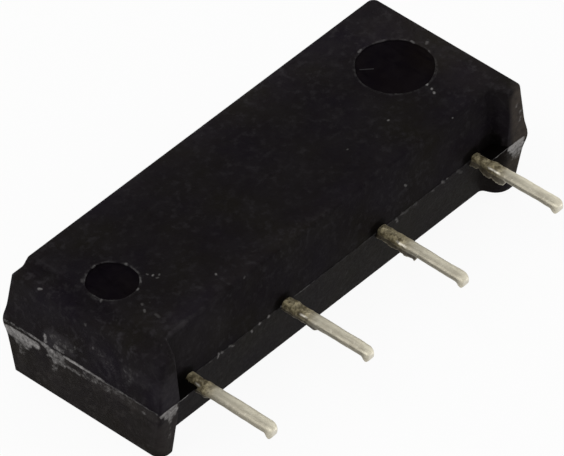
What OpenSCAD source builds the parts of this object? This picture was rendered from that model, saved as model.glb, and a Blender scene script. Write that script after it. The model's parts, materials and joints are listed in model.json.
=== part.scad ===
// Moulded single-in-line reed relay, lying on its large flat side.
// X runs along the body, the pins point to -Y, and Z = 0 is the resting face.
// The origin is the centre of the resting face, pins left out. All sizes are in millimetres.

/* [Body] */
// Length of the body at the parting line
body_l = 19.6; // [18.5:0.1:24]
// Height of the body at the parting line, from the feet to the back
body_h = 7.42; // [7.2:0.02:9.4]
// Thickness of the mould half that the body rests on
lower_t = 2.59; // [2.3:0.01:3.2]
// Thickness of the mould half on top
upper_t = 2.49; // [2.3:0.01:3.1]
// Chamfer of the four upright corners at the parting line
corner_cut = 0.1; // [0.05:0.01:0.3]
// Chamfer of the four upright corners at the top and bottom faces
corner_cut_end = 0.3; // [0.1:0.01:0.35]
// Width of the small bevel round the top and bottom faces
rim_bevel = 0.09; // [0.03:0.01:0.15]

/* [Mould draft, degrees] */
// Draft of the two end faces
end_draft = 7; // [1:0.5:10]
// Draft of the back face
back_draft = 6; // [1:0.5:10]
// Draft of the front faces of the feet in the top half
foot_draft_top = 1; // [0.5:0.5:10]
// Draft of the front faces of the feet in the bottom half
foot_draft_bottom = 5.5; // [0.5:0.5:10]
// Draft of the feet's inner walls
wall_draft = 5; // [1:0.5:8]
// Draft of the recess face in the top half
recess_draft_top = 5; // [1:0.5:10]
// Draft of the recess face in the bottom half
recess_draft_bottom = 10.5; // [1:0.5:12]

/* [Feet and parting line] */
// How far the feet stand out past the recess
standoff = 0.55; // [0.3:0.01:0.8]
// Width of a foot at its front
foot_w = 1.05; // [0.7:0.01:1.1]
// How much wider a foot is at its root
foot_flare = 0.25; // [0.1:0.01:0.45]
// How far the flash at the parting line stands out
flash_out = 0.04; // [0.02:0.01:0.08]
// Thickness of the flash
flash_t = 0.06; // [0.03:0.01:0.1]

/* [Ledge at the left end] */
// Length of the lowered ledge, from the end at the parting line
ledge_l = 0.78; // [0.5:0.02:0.8]
// Depth of the ledge below the top face
ledge_d = 0.3; // [0.15:0.01:0.6]
// Length of the ramp from the ledge up to the top face
ledge_ramp = 0.24; // [0.1:0.02:0.25]

/* [Ejector marks] */
// Radius of the mark at the left end
mark_left_r = 0.96; // [0.5:0.01:1.2]
// Distance of the left mark from the middle of the body
mark_left_x = 7.78; // [6.5:0.01:7.8]
// Radius of the mark at the right end
mark_right_r = 1.45; // [0.8:0.01:1.5]
// Distance of the right mark from the middle of the body
mark_right_x = 7.27; // [6.5:0.01:7.3]
// Distance of both marks from the middle of the body towards the back
mark_y = 0.37; // [-0.5:0.01:0.8]
// Depth of both marks
mark_d = 0.08; // [0.03:0.01:0.15]

/* [Pins] */
// Distance between neighbouring pins
pin_pitch = 5.08; // [4.2:0.01:5.2]
// Width of a pin
pin_w = 0.5; // [0.4:0.01:0.6]
// Thickness of a pin
pin_t = 0.25; // [0.2:0.01:0.3]
// Length of a pin below the feet
pin_l = 3.5; // [2.5:0.1:4.5]
// Chamfer at the tip of a pin
tip_cut = 0.1; // [0.05:0.01:0.15]
// Width of the pins inside the body
root_w = 0.9; // [0.7:0.01:1]
// Depth in the body at which the pins widen
root_depth = 0.35; // [0.2:0.05:0.5]
// Length of a coil pin's wide root, up to its head
root_l = 0.36; // [0.1:0.01:0.5]
// Width of the head of a coil pin
head_w = 1.4; // [1.1:0.05:1.8]
// Length of the head of a coil pin
head_l = 0.5; // [0.4:0.05:0.7]
// Length of the tab under the lead of a reed
tab_l = 0.7; // [0.5:0.05:1]
// Length of the bend that lowers the tab
bend_l = 0.6; // [0.4:0.05:0.8]

/* [Coil] */
// Outside diameter of the winding
winding_d = 3.8; // [3.1:0.05:4.6]
// How far the flanges stand out past the winding
flange_lip = 0.1; // [0.05:0.01:0.15]
// Thickness of a flange
flange_t = 0.5; // [0.3:0.05:0.7]
// Chamfer of the corners of a flange
flange_cut = 0.5; // [0.2:0.05:0.6]
// Wall of the bobbin's tube
tube_wall = 0.3; // [0.2:0.01:0.4]
// How far the bobbin reaches past each end of the capsule
bobbin_over = 0.7; // [0.4:0.05:0.9]
// Diameter of the twisted wire ends of the winding
wire_d = 0.12; // [0.08:0.01:0.16]
// Distance from a flange at which a wire end leaves the winding
wire_inset = 0.7; // [0.3:0.05:1]
// Height of a wire end above the head of its pin
wire_lift = 0.05; // [0.03:0.01:0.08]
// Free way between the flanges and the heads of the coil pins
wire_room = 0.5; // [0.4:0.05:0.6]
// Radius of a solder bead
bead_r = 0.3; // [0.2:0.01:0.35]

/* [Reed switch] */
// Outside diameter of the glass capsule
capsule_d = 1.8; // [1.6:0.05:2.1]
// Length of the glass capsule
capsule_l = 10.2; // [9:0.1:12.3]
// Wall of the glass
glass_wall = 0.25; // [0.15:0.01:0.3]
// Length of the solid glass seal at each end
seal_l = 1.2; // [0.95:0.05:1.5]
// Length of the cone where the glass narrows to the seal
cone_l = 0.6; // [0.4:0.05:0.8]
// Diameter of a reed's round lead
lead_d = 0.4; // [0.35:0.01:0.45]
// Width of a reed's flat blade
blade_w = 0.65; // [0.5:0.01:0.75]
// Thickness of a reed's flat blade
blade_t = 0.18; // [0.15:0.01:0.19]
// Overlap of the two blades
overlap = 1.2; // [0.8:0.05:1.6]
// Open gap between the two contacts
contact_gap = 0.05; // [0.04:0.005:0.06]
// Length of lead that reaches past the middle of a switch pin
lead_over = 0.5; // [0.45:0.05:0.6]

/* [Clearances] */
// Gap between the moulding and what it holds
mould_gap = 0.01; // [0.005:0.001:0.02]
// Gap between the winding and the bobbin
winding_gap = 0.01; // [0.005:0.001:0.02]
// Gap between the capsule and the bobbin's bore
capsule_gap = 0.08; // [0.05:0.01:0.12]
// Gap between a reed's lead and the glass seal
seal_gap = 0.02; // [0.01:0.005:0.03]
// Room round a lead outside the capsule, in which it moves as its blade bends
lead_play = 0.04; // [0.03:0.005:0.06]

/* [Hidden] */
$fn = 64;
slack = 1;

black_plastic = [0.12, 0.115, 0.12];
pale_plastic = [0.88, 0.86, 0.8];
tin = [0.73, 0.7, 0.63];
copper = [0.72, 0.36, 0.16];
solder = [0.75, 0.75, 0.73];
green_glass = [0.55, 0.75, 0.65, 0.4];
nickel_iron = [0.62, 0.62, 0.6];

parting_z = lower_t;
body_t = lower_t + upper_t;
seat_y = -body_h / 2;
recess_y = seat_y + standoff;
tip_y = seat_y - flash_out - pin_l;

inner_pin_x = pin_pitch / 2;
outer_pin_x = 3 * pin_pitch / 2;
shoulder_y = recess_y + root_depth;

flange_side = winding_d + 2 * flange_lip;
head_y = shoulder_y + root_l + head_l;
coil_y = head_y + wire_room + flange_side / 2;
bobbin_l = capsule_l + 2 * bobbin_over;
bore_d = capsule_d + 2 * capsule_gap;
tube_d = bore_d + 2 * tube_wall;
winding_l = bobbin_l - 2 * flange_t - 2 * winding_gap;

seal_x = capsule_l / 2 - seal_l;
blade_root_x = seal_x - cone_l;
lead_end_x = outer_pin_x + lead_over;
tab_drop = lead_d / 2 + lead_play + pin_t / 2;

wire_z = parting_z + pin_t / 2 + wire_lift + wire_d / 2;
wire_from = [bobbin_l / 2 - flange_t - wire_inset, coil_y - winding_d / 2 - wire_d / 2 - mould_gap, wire_z];
wire_to = [inner_pin_x, head_y - head_l / 2, wire_z];

// Unit vector at right angles to the side from a to b, pointing into an outline that turns left
function inward(a, b) = [a.y - b.y, b.x - a.x] / norm(b - a);

// Corner p of an outline after the side before it moves in by d1 and the side after it by d2
function moved_corner(before, p, after, d1, d2) =
    let (m = inward(before, p), n = inward(p, after), det = m.x * n.y - m.y * n.x)
    p + [d1 * n.y - d2 * m.y, d2 * m.x - d1 * n.x] / det;

// Outline with side i moved in by d[i]; side i runs from corner i to the next one
function inset(points, d) =
    let (n = len(points))
    [for (i = [0:n - 1]) moved_corner(
        points[(i + n - 1) % n], points[i], points[(i + 1) % n], d[(i + n - 1) % n], d[i])];

// The body's outline without the recess, with its ends, feet and back moved in and its corners cut by c
function block_outline(end_in, foot_in, back_in, c) =
    let (x = body_l / 2 - end_in, front = seat_y + foot_in, back = body_h / 2 - back_in) [
        [-x + c, front], [x - c, front], [x, front + c], [x, back - c],
        [x - c, back], [-x + c, back], [-x, back - c], [-x, front + c]
    ];

// The outline of the recess between the feet at the parting line, open towards the pins
recess_front_x = body_l / 2 - foot_w;
recess_root_x = recess_front_x - foot_flare;
recess_mouth_x = recess_front_x + foot_flare * slack / standoff;
recess_outline = [
    [-recess_mouth_x, seat_y - slack], [recess_mouth_x, seat_y - slack],
    [recess_root_x, recess_y], [-recess_root_x, recess_y]
];

// How far the sides of the recess move in at height h from the parting line
function recess_lean(recess_draft, h) = [for (a = [0, wall_draft, recess_draft, wall_draft]) -h * tan(a)];

// Solid through convex outlines, from the lowest to the highest; each level is [z, points]
module loft(levels) {
    n = len(levels[0][1]);
    top = len(levels) - 1;
    points = [for (v = levels) for (p = v[1]) [p.x, p.y, v[0]]];
    sides = [for (k = [0:top - 1]) for (i = [0:n - 1])
        [k * n + i, (k + 1) * n + i, (k + 1) * n + (i + 1) % n, k * n + (i + 1) % n]];
    polyhedron(points, concat([[for (i = [0:n - 1]) i]], sides, [[for (i = [n - 1:-1:0]) top * n + i]]));
}

// Turns a shape made along Z so that it runs along X, with its axis on the coil's axis
module on_coil_axis() {
    translate([0, coil_y, parting_z]) rotate([0, 90, 0]) children();
}

module centred_rod(d, l) {
    cylinder(d = d, h = l, center = true);
}

module rod_between(a, b, d) {
    v = b - a;
    translate(a) rotate([0, acos(v.z / norm(v)), atan2(v.y, v.x)]) cylinder(d = d, h = norm(v));
}

// One mould half's block, from the parting plane up by t
module half_block(t, foot_draft) {
    h = t - rim_bevel;
    end_in = h * tan(end_draft);
    foot_in = h * tan(foot_draft);
    back_in = h * tan(back_draft);
    b = rim_bevel;
    loft([
        [0, block_outline(0, 0, 0, corner_cut)],
        [h, block_outline(end_in, foot_in, back_in, corner_cut_end)],
        [t, block_outline(end_in + b, foot_in + b, back_in + b, corner_cut_end)]
    ]);
}

// What the recess takes from one mould half, from the parting plane up by t
module half_recess(t, recess_draft) {
    h = t + slack;
    loft([[0, recess_outline], [h, inset(recess_outline, recess_lean(recess_draft, h))]]);
}

module mould_half(t, foot_draft, recess_draft) {
    difference() {
        half_block(t, foot_draft);
        half_recess(t, recess_draft);
    }
}

// Thin flash all round the parting line, following the feet and the recess
module flash() {
    outer = block_outline(-flash_out, -flash_out, -flash_out, corner_cut);
    opening = inset(recess_outline, [0, flash_out, flash_out, flash_out]);
    translate([0, 0, parting_z - flash_t / 2]) linear_extrude(flash_t) difference() {
        polygon(outer);
        polygon(opening);
    }
}

// The lowered end of the top face, with its ramp, cut along the whole height of the body
module ledge_cut() {
    x0 = -body_l / 2;
    rise = ledge_d + slack;
    ramp = ledge_ramp * rise / ledge_d;
    translate([0, 0, body_t - ledge_d]) rotate([90, 0, 0]) linear_extrude(body_h + 2 * slack, center = true)
        polygon([[x0 - slack, 0], [x0 + ledge_l, 0], [x0 + ledge_l + ramp, rise], [x0 - slack, rise]]);
}

module ejector_mark(x, r) {
    translate([x, mark_y, body_t - mark_d]) cylinder(r = r, h = mark_d + slack);
}

// A flat strip of lead frame on the parting plane, between two places along Y
module strip(w, y0, y1, grow) {
    translate([-w / 2 - grow, y0 - grow, parting_z - pin_t / 2 - grow])
        cube([w + 2 * grow, y1 - y0 + 2 * grow, pin_t + 2 * grow]);
}

// The part of a pin outside the root, with its chamfered tip
module pin_leg() {
    half = pin_w / 2;
    translate([0, 0, parting_z - pin_t / 2]) linear_extrude(pin_t) polygon([
        [-half + tip_cut, tip_y], [half - tip_cut, tip_y], [half, tip_y + tip_cut],
        [half, shoulder_y], [-half, shoulder_y], [-half, tip_y + tip_cut]
    ]);
}

// The inner end of a switch pin: a strip that bends down and runs on as a tab under the reed's lead
module switch_root(grow) {
    tab_y = coil_y - tab_l / 2;
    bend_y = tab_y - bend_l;
    z1 = parting_z + pin_t / 2 + grow;
    z2 = z1 - tab_drop;
    t = pin_t + 2 * grow;
    end_y = coil_y + tab_l / 2 + grow;
    strip(root_w, shoulder_y, bend_y, grow);
    translate([-root_w / 2 - grow, 0, 0]) rotate([90, 0, 90]) linear_extrude(root_w + 2 * grow) polygon([
        [bend_y, z1], [bend_y, z1 - t], [tab_y, z2 - t], [end_y, z2 - t], [end_y, z2], [tab_y, z2]
    ]);
}

// The inner end of a coil pin: a strip with a wider head that anchors it
module coil_root(grow) {
    strip(root_w, shoulder_y, head_y - head_l, grow);
    strip(head_w, head_y - head_l, head_y, grow);
}

module switch_pin() {
    pin_leg();
    switch_root(0);
}

module coil_pin() {
    pin_leg();
    coil_root(0);
}

// Half a ball of solder on the head of a coil pin, turned so that its seam is away from the wire
module bead(grow) {
    r = bead_r + grow;
    translate([wire_to.x, wire_to.y, parting_z + pin_t / 2]) rotate([0, 0, -90])
        rotate_extrude() intersection() {
            circle(r = r);
            translate([0, -grow]) square([r, r + grow]);
        }
}

module solder_bead() {
    difference() {
        bead(0);
        coil_wire(mould_gap);
    }
}

module coil_wire(grow) {
    rod_between(wire_from, wire_to, wire_d + 2 * grow);
}

module flange(grow) {
    s = flange_side / 2 + grow;
    c = flange_cut;
    linear_extrude(flange_t + 2 * grow, center = true) polygon([
        [-s + c, -s], [s - c, -s], [s, -s + c], [s, s - c], [s - c, s], [-s + c, s], [-s, s - c], [-s, -s + c]
    ]);
}

module both_flanges(grow) {
    for (s = [-1, 1]) on_coil_axis() translate([0, 0, s * (bobbin_l - flange_t) / 2]) flange(grow);
}

// Everything that the moulding is cast round, on the right half of the relay
module right_side_space() {
    translate([outer_pin_x, 0, 0]) switch_root(mould_gap);
    translate([inner_pin_x, 0, 0]) coil_root(mould_gap);
    for (x = [inner_pin_x, outer_pin_x])
        translate([x, 0, 0]) strip(pin_w, recess_y - slack, shoulder_y, mould_gap);
    bead(mould_gap);
    coil_wire(mould_gap);
    on_coil_axis() cylinder(d = lead_d + 2 * lead_play, h = lead_end_x + lead_play);
}

module coil_space() {
    both_flanges(mould_gap);
    on_coil_axis() centred_rod(winding_d + 2 * mould_gap, bobbin_l);
}

module moulded_body() {
    color(black_plastic) difference() {
        union() {
            translate([0, 0, parting_z]) mould_half(upper_t, foot_draft_top, recess_draft_top);
            translate([0, 0, parting_z]) mirror([0, 0, 1])
                mould_half(lower_t, foot_draft_bottom, recess_draft_bottom);
            flash();
        }
        ledge_cut();
        ejector_mark(-mark_left_x, mark_left_r);
        ejector_mark(mark_right_x, mark_right_r);
        coil_space();
        right_side_space();
        mirror([1, 0, 0]) right_side_space();
    }
}

module switch_pin_left() {
    color(tin) translate([-outer_pin_x, 0, 0]) switch_pin();
}

module coil_pin_left() {
    color(tin) translate([-inner_pin_x, 0, 0]) coil_pin();
}

module coil_pin_right() {
    color(tin) translate([inner_pin_x, 0, 0]) coil_pin();
}

module switch_pin_right() {
    color(tin) translate([outer_pin_x, 0, 0]) switch_pin();
}

module coil_bobbin() {
    color(pale_plastic) difference() {
        union() {
            both_flanges(0);
            on_coil_axis() centred_rod(tube_d, bobbin_l);
        }
        on_coil_axis() centred_rod(bore_d, bobbin_l + 2 * slack);
    }
}

module coil_winding() {
    color(copper) on_coil_axis() difference() {
        centred_rod(winding_d, winding_l);
        centred_rod(tube_d + 2 * winding_gap, winding_l + 2 * slack);
    }
}

module coil_start_wire() {
    color(copper) mirror([1, 0, 0]) coil_wire(0);
}

module coil_finish_wire() {
    color(copper) coil_wire(0);
}

module start_solder() {
    color(solder) mirror([1, 0, 0]) solder_bead();
}

module finish_solder() {
    color(solder) solder_bead();
}

// Glass tube with round ends; inside, it narrows in cones to the seals that hold the leads
module glass_capsule() {
    r = capsule_d / 2;
    inner_r = r - glass_wall;
    color(green_glass) on_coil_axis() difference() {
        union() {
            centred_rod(capsule_d, capsule_l - capsule_d);
            for (s = [-1, 1]) translate([0, 0, s * (capsule_l / 2 - r)]) sphere(r = r);
        }
        centred_rod(2 * inner_r, 2 * blade_root_x);
        for (s = [0, 1]) mirror([0, 0, s]) translate([0, 0, blade_root_x])
            cylinder(r1 = inner_r, r2 = lead_d / 2 + seal_gap, h = cone_l);
        centred_rod(lead_d + 2 * seal_gap, capsule_l + 2 * slack);
    }
}

// A reed on the left, with its blade on the lower side of the contact gap
module reed() {
    tip_x = overlap / 2 - blade_w / 2;
    lead_l = lead_end_x - blade_root_x + lead_d;
    on_coil_axis() translate([0, 0, -lead_end_x]) cylinder(d = lead_d, h = lead_l);
    translate([0, coil_y, parting_z - contact_gap / 2 - blade_t]) {
        translate([-blade_root_x, -blade_w / 2, 0]) cube([tip_x + blade_root_x, blade_w, blade_t]);
        translate([tip_x, 0, 0]) cylinder(d = blade_w, h = blade_t);
    }
}

module left_reed() {
    color(nickel_iron) reed();
}

// The right reed is the left one turned half round the Y axis through the coil's centre
module right_reed() {
    color(nickel_iron) translate([0, 0, 2 * parting_z]) rotate([0, 180, 0]) reed();
}

moulded_body();
switch_pin_left();
coil_pin_left();
coil_pin_right();
switch_pin_right();
coil_bobbin();
coil_winding();
coil_start_wire();
coil_finish_wire();
start_solder();
finish_solder();
glass_capsule();
left_reed();
right_reed();
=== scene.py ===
"""Looks of a moulded single-in-line reed relay that lies on its large flat side.

Shapes are in millimetres in the CAD model's frame, and new_object scales them to metres. X runs along the
body, the pins point to -Y and Z is up. The moulding and the pins are detailed meshes that replace their
CAD solids. The pieces sealed inside keep their CAD shape and get materials here.
"""

import json
import math
from collections import Counter, namedtuple

import bmesh
import bpy
import numpy as np
from mathutils import Matrix, Vector, noise
from mathutils.geometry import delaunay_2d_cdt


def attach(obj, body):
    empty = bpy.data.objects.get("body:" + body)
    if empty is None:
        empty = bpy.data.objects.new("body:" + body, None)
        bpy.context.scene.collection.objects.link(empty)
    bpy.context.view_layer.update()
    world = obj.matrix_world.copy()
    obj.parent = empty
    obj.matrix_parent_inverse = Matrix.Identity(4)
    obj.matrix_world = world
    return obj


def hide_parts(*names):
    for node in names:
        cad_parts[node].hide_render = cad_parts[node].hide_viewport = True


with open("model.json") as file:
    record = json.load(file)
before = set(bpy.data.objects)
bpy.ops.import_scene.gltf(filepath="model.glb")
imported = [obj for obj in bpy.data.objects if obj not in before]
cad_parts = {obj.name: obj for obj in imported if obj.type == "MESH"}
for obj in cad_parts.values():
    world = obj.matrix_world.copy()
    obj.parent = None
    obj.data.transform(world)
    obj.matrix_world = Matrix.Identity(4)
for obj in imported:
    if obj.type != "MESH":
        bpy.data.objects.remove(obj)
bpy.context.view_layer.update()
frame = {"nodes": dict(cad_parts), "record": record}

MM = 0.001
TINY = 1e-6
SEED = 20261126
rng = np.random.default_rng(SEED)

# Sizes, as in the CAD model, in millimetres
BODY_HALF_L = 9.8
SEAT_Y = -3.71
BACK_Y = 3.71
RECESS_Y = -3.16
RECESS_FRONT_X = 8.75
RECESS_ROOT_X = 8.5
PARTING_Z = 2.59
UPPER_T = 2.49
LOWER_T = 2.59
TOP_Z = PARTING_Z + UPPER_T
FLASH_OUT = 0.04
LEDGE_FLOOR_X = -8.98
LEDGE_TOP_X = -8.77
LEDGE_D = 0.3
# Middle and radius of each ejector mark
MARKS = ((-7.78, 0.37, 0.96), (7.27, 0.37, 1.45))
MARK_D = 0.08

PIN_PITCH = 5.08
# Place of each pin in the row, in pitches from the middle
PIN_COLUMNS = (-1.5, -0.5, 0.5, 1.5)
PIN_W = 0.5
PIN_T = 0.25
TIP_Y = -7.25
SHOULDER_Y = -2.81
ROOT_W = 0.9
COIL_Y = 0.55
TAB_L = 0.7
BEND_L = 0.6
TAB_DROP = 0.365
HEAD_W = 1.4
HEAD_Y = -1.95
HEAD_L = 0.5


# Shared tools
def tan_deg(a):
    return math.tan(math.radians(a))


def noise_at(points, frequency, seed=0.0):
    """Smooth noise from -1 to 1 at each point, with frequency in cycles per millimetre."""
    shift = Vector((seed * 17.13, seed * 5.71, seed * 9.37))
    return np.array([noise.noise(Vector(p) * frequency + shift) for p in points])


def smoothstep(low, high, x):
    t = np.clip((x - low) / (high - low), 0, 1)
    return t * t * (3 - 2 * t)


def new_object(name, points, faces, material, attributes, smooth_angle):
    """A closed mesh from points in millimetres that rides on the relay, sharp at edges above the angle."""
    mesh = bpy.data.meshes.new(name)
    mesh.from_pydata((points * MM).tolist(), [], faces)
    for key, values in attributes.items():
        layer = mesh.attributes.new(key, "FLOAT", "POINT")
        layer.data.foreach_set("value", np.asarray(values, np.float32))
    work = bmesh.new()
    work.from_mesh(mesh)
    bmesh.ops.recalc_face_normals(work, faces=work.faces)
    work.to_mesh(mesh)
    work.free()
    mesh.shade_smooth()
    mesh.set_sharp_from_angle(angle=math.radians(smooth_angle))
    mesh.materials.append(material)
    piece = bpy.data.objects.new(name, mesh)
    bpy.context.scene.collection.objects.link(piece)
    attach(piece, "relay")
    return piece


class Graph:
    """The node tree of a new material or world, where a socket takes a value or another node's output."""

    def __init__(self, name, home=bpy.data.materials):
        self.owner = home.new(name)
        self.owner.use_nodes = True
        self.tree = self.owner.node_tree
        self.tree.nodes.clear()
        place = self.add("TexCoord").outputs["Object"]
        self.mm = self.scaled(place, 1 / MM)

    def add(self, kind, sockets=None, **settings):
        node = self.tree.nodes.new("ShaderNode" + kind)
        for key, value in settings.items():
            setattr(node, key, value)
        for key, value in (sockets or {}).items():
            if isinstance(value, bpy.types.NodeSocket):
                self.tree.links.new(value, node.inputs[key])
            else:
                node.inputs[key].default_value = value
        return node

    def vector(self, operation, a, b):
        return self.add("VectorMath", {0: a, 1: b}, operation=operation).outputs

    def scaled(self, vector, factor):
        return self.add("VectorMath", {0: vector, "Scale": factor}, operation="SCALE").outputs[0]

    def stretched(self, factors):
        """Coordinates in millimetres, multiplied by a factor on each axis."""
        return self.vector("MULTIPLY", self.mm, factors)[0]

    def noise(self, scale, detail=2.0, roughness=0.5, vector=None):
        sockets = {"Vector": vector or self.mm, "Scale": scale, "Detail": detail, "Roughness": roughness}
        return self.add("TexNoise", sockets).outputs[0]

    def attribute(self, name):
        return self.add("Attribute", attribute_name=name).outputs["Fac"]

    def axis(self, letter):
        return self.add("SeparateXYZ", {0: self.mm}).outputs[letter]

    def math(self, operation, a, b=0.0, clamp=False):
        return self.add("Math", {0: a, 1: b}, operation=operation, use_clamp=clamp).outputs[0]

    def times(self, a, b, clamp=False):
        return self.math("MULTIPLY", a, b, clamp)

    def between(self, value, low, high, out_low=0.0, out_high=1.0):
        """Value mapped from low..high to out_low..out_high and held there."""
        sockets = {"Value": value, "From Min": low, "From Max": high, "To Min": out_low, "To Max": out_high}
        return self.add("MapRange", sockets, clamp=True).outputs[0]

    def mix(self, factor, a, b):
        """Colour a where factor is 0 and b where it is 1."""
        a, b = [c if isinstance(c, bpy.types.NodeSocket) else (*c, 1) for c in (a, b)]
        return self.add("Mix", {0: factor, 6: a, 7: b}, data_type="RGBA").outputs[2]

    def over(self, colour, factor, strength, new):
        """Colour with a new one laid over it, as far as factor times strength."""
        return self.mix(self.times(factor, strength), colour, new)

    def shaken(self, reach_mm, scale):
        """Coordinates in millimetres, shifted unevenly by up to about reach_mm."""
        shift = self.add("TexNoise", {"Vector": self.mm, "Scale": scale, "Detail": 3.0}).outputs["Color"]
        middle = self.vector("SUBTRACT", shift, (0.5, 0.5, 0.5))[0]
        return self.vector("ADD", self.mm, self.scaled(middle, 2 * reach_mm))[0]

    def stroke(self, place, a, b, radius):
        """1 along the line from a to b, falling to 0 at radius from it."""
        axis = Vector(b) - Vector(a)
        from_a = self.vector("SUBTRACT", place, a)[0]
        run = self.vector("DOT_PRODUCT", from_a, axis)["Value"]
        share = self.math("DIVIDE", run, max(axis.length_squared, TINY), clamp=True)
        distance = self.vector("DISTANCE", from_a, self.scaled(axis, share))["Value"]
        return self.between(distance, 0.3 * radius, radius, 1.0, 0.0)

    def strokes(self, place, table):
        """The strongest of the strokes in a table of ends, radius and strength."""
        total = None
        for a, b, radius, strength in table:
            one = self.times(self.stroke(place, a, b, radius), strength)
            total = one if total is None else self.math("MAXIMUM", total, one)
        return total

    def bumped(self, height, distance_mm, normal=None):
        sockets = {"Height": height, "Distance": distance_mm * MM, "Strength": 1.0}
        if normal is not None:
            sockets["Normal"] = normal
        return self.add("Bump", sockets).outputs[0]

    def principled(self, colour, roughness, normal, others):
        sockets = {"Base Color": colour, "Roughness": roughness, "Normal": normal, **others}
        self.add("OutputMaterial", {"Surface": self.add("BsdfPrincipled", sockets).outputs[0]})
        return self.owner


# Marks on the moulding
def marks(*rows):
    """Marks from rows of hundredths: X, Y and Z of both ends of a line, its radius and its strength."""
    scaled = [[value / 100 for value in row] for row in rows]
    return [(row[:3], row[3:6], *row[6:]) for row in scaled]


# Chalky places, where the skin of the moulding is broken
CHALK = marks(
    # white triangle under the parting line, at the back of the left end
    (-975, 372, 219, -975, 222, 222, 25, 115),
    (-973, 355, 203, -973, 262, 204, 27, 100),
    (-970, 312, 184, -970, 275, 184, 28, 66),
    (-967, 298, 160, -964, 302, 130, 22, 44),
    # broken skin on both sides of the parting line, right of the triangle
    (-979, 375, 256, -979, 250, 256, 11, 50),
    (-980, 250, 258, -980, 160, 256, 8.5, 98),
    (-976, 178, 296, -978, 174, 272, 10, 100),
    (-979, 185, 252, -978, 145, 242, 17, 95),
    (-978, 150, 234, -978, 103, 244, 28, 84),
    (-976, 136, 204, -976, 96, 210, 26, 76),
    (-972, 134, 180, -968, 146, 146, 18, 52),
    (-976, 168, 202, -977, 155, 218, 12, 80),
    (-977, 130, 274, -977, 92, 274, 13, 72),
    (-975, 146, 310, -974, 114, 320, 20, 34),
    (-976, 124, 296, -976, 84, 298, 20, 36),
    (-975, 84, 312, -974, 62, 322, 16, 30),
    (-976, 70, 290, -975, 48, 300, 14, 30),
    (-974, 38, 322, -973, 30, 330, 12, 30),
    # bright worn parting line and the fainter band below it
    (-980, 80, 255, -980, -5, 256, 10, 135),
    (-980, -5, 256, -980, -55, 256, 9, 105),
    (-980, -55, 256, -980, -105, 256, 9, 85),
    (-980, -105, 255, -980, -190, 253, 8, 62),
    (-980, -190, 255, -980, -270, 255, 8, 50),
    (-980, -270, 255, -980, -362, 255, 8, 40),
    (-976, 90, 212, -976, 18, 210, 11, 72),
    (-976, -5, 212, -977, -80, 230, 18, 48),
    (-978, -10, 238, -978, -100, 246, 16, 44),
    (-977, -110, 220, -978, -162, 242, 24, 36),
    (-976, -112, 213, -976, -117, 218, 9, 60),
    (-976, -190, 230, -976, -340, 224, 24, 26),
    (-976, -283, 217, -976, -292, 217, 9, 55),
    # light blobs above the parting line
    (-966, -55, 374, -966, -84, 368, 22, 27),
    (-970, -210, 366, -970, -224, 336, 34, 27),
    (-970, -126, 340, -970, -134, 336, 30, 26),
    (-958, -150, 442, -957, -158, 446, 12, 36),
    (-960, -2, 452, -960, -6, 452, 14, 34),
    # front of the left foot
    (-966, -371, 246, -898, -371, 246, 17, 105),
    (-938, -369, 226, -898, -369, 226, 23, 105),
    (-918, -367, 205, -902, -367, 210, 21, 90),
    (-926, -366, 198, -918, -365, 180, 12, 60),
    (-922, -363, 175, -910, -353, 90, 8, 30),
    (-920, -357, 112, -920, -356, 102, 8, 40),
    # front of the right foot
    (893, -371, 243, 958, -371, 243, 19, 135),
    (910, -369, 222, 954, -369, 220, 24, 120),
    (924, -365, 198, 956, -364, 194, 22, 95),
    (924, -361, 178, 958, -360, 166, 24, 66),
    (948, -369, 354, 944, -369, 350, 9, 80),
    (928, -368, 429, 924, -368, 426, 10, 58),
    (950, -368, 392, 946, -368, 384, 10, 52),
    # flash on the front edge of the film beside each foot, with a painted highlight where that edge catches
    # light
    (-874, -376, 259, -836, -376, 258, 7, 95),
    (805, -376, 259, 880, -376, 259, 6, 80),
)

# Places with a soft pale bloom, and painted light on the fronts of the feet and on edges that catch the light
BLOOM_AND_PAINTED_LIGHT = marks(
    (-920, -368, 350, -910, -369, 290, 80, 30),
    (-874, -366, 490, -876, -371, 300, 12, 22),
    (942, -366, 460, 950, -370, 280, 62, 66),
    (966, -360, 485, 976, -366, 380, 12, 40),
    (935, -356, 150, 945, -350, 120, 60, 36),
    (-920, -360, 160, -910, -350, 60, 70, 34),
    (-975, 145, 304, -975, 75, 306, 50, 30),
    (-970, -210, 360, -970, -290, 370, 40, 14),
    (-966, -50, 370, -970, -130, 340, 35, 10),
    (-976, -60, 220, -976, -340, 228, 34, 20),
    (-968, 305, 140, -960, 310, 55, 26, 12),
    (-970, 135, 160, -962, 155, 60, 42, 10),
    (-770, -310, 410, -640, -310, 400, 130, 9),
    (860, 160, 508, 890, -160, 508, 140, 5),
    # painted highlight along the top edge of the recess and the top of the ledge's ramp
    (-862, -306, 500, -834, -294, 502, 15, 40),
    (-834, -294, 502, -760, -293, 502, 14, 42),
    (-760, -293, 502, -660, -293, 502, 13, 20),
    (-660, -293, 502, -560, -293, 502, 13, 10),
    (-867, 294, 500, -867, 193, 500, 12, 30),
)

# Places darkened: painted shade in the pockets between the outer pins and the feet and up the right foot's
# corner, and flux
STAIN_AND_PAINTED_SHADE = marks(
    (-835, -320, 270, -780, -317, 280, 50, 75),
    (820, -316, 275, 855, -314, 275, 60, 80),
    (845, -312, 300, 845, -302, 420, 45, 30),
    (-820, -312, 245, -790, -312, 240, 30, 40),
    (815, -312, 240, 860, -305, 180, 70, 35),
    # darker middle of the top face and of the ledge
    (-650, 60, 508, 540, -60, 508, 360, 36),
    (-830, 220, 540, -830, -60, 540, 130, 26),
)
# dark flux with painted shade on the wall above each pin, and painted shadow below it
for column in PIN_COLUMNS:
    x = 100 * column * PIN_PITCH
    STAIN_AND_PAINTED_SHADE += marks((x - 42, -315, 274, x - 5, -314, 282, 36, 88))
    STAIN_AND_PAINTED_SHADE += marks((x - 20, -314, 250, x + 30, -308, 215, 42, 55))

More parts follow.
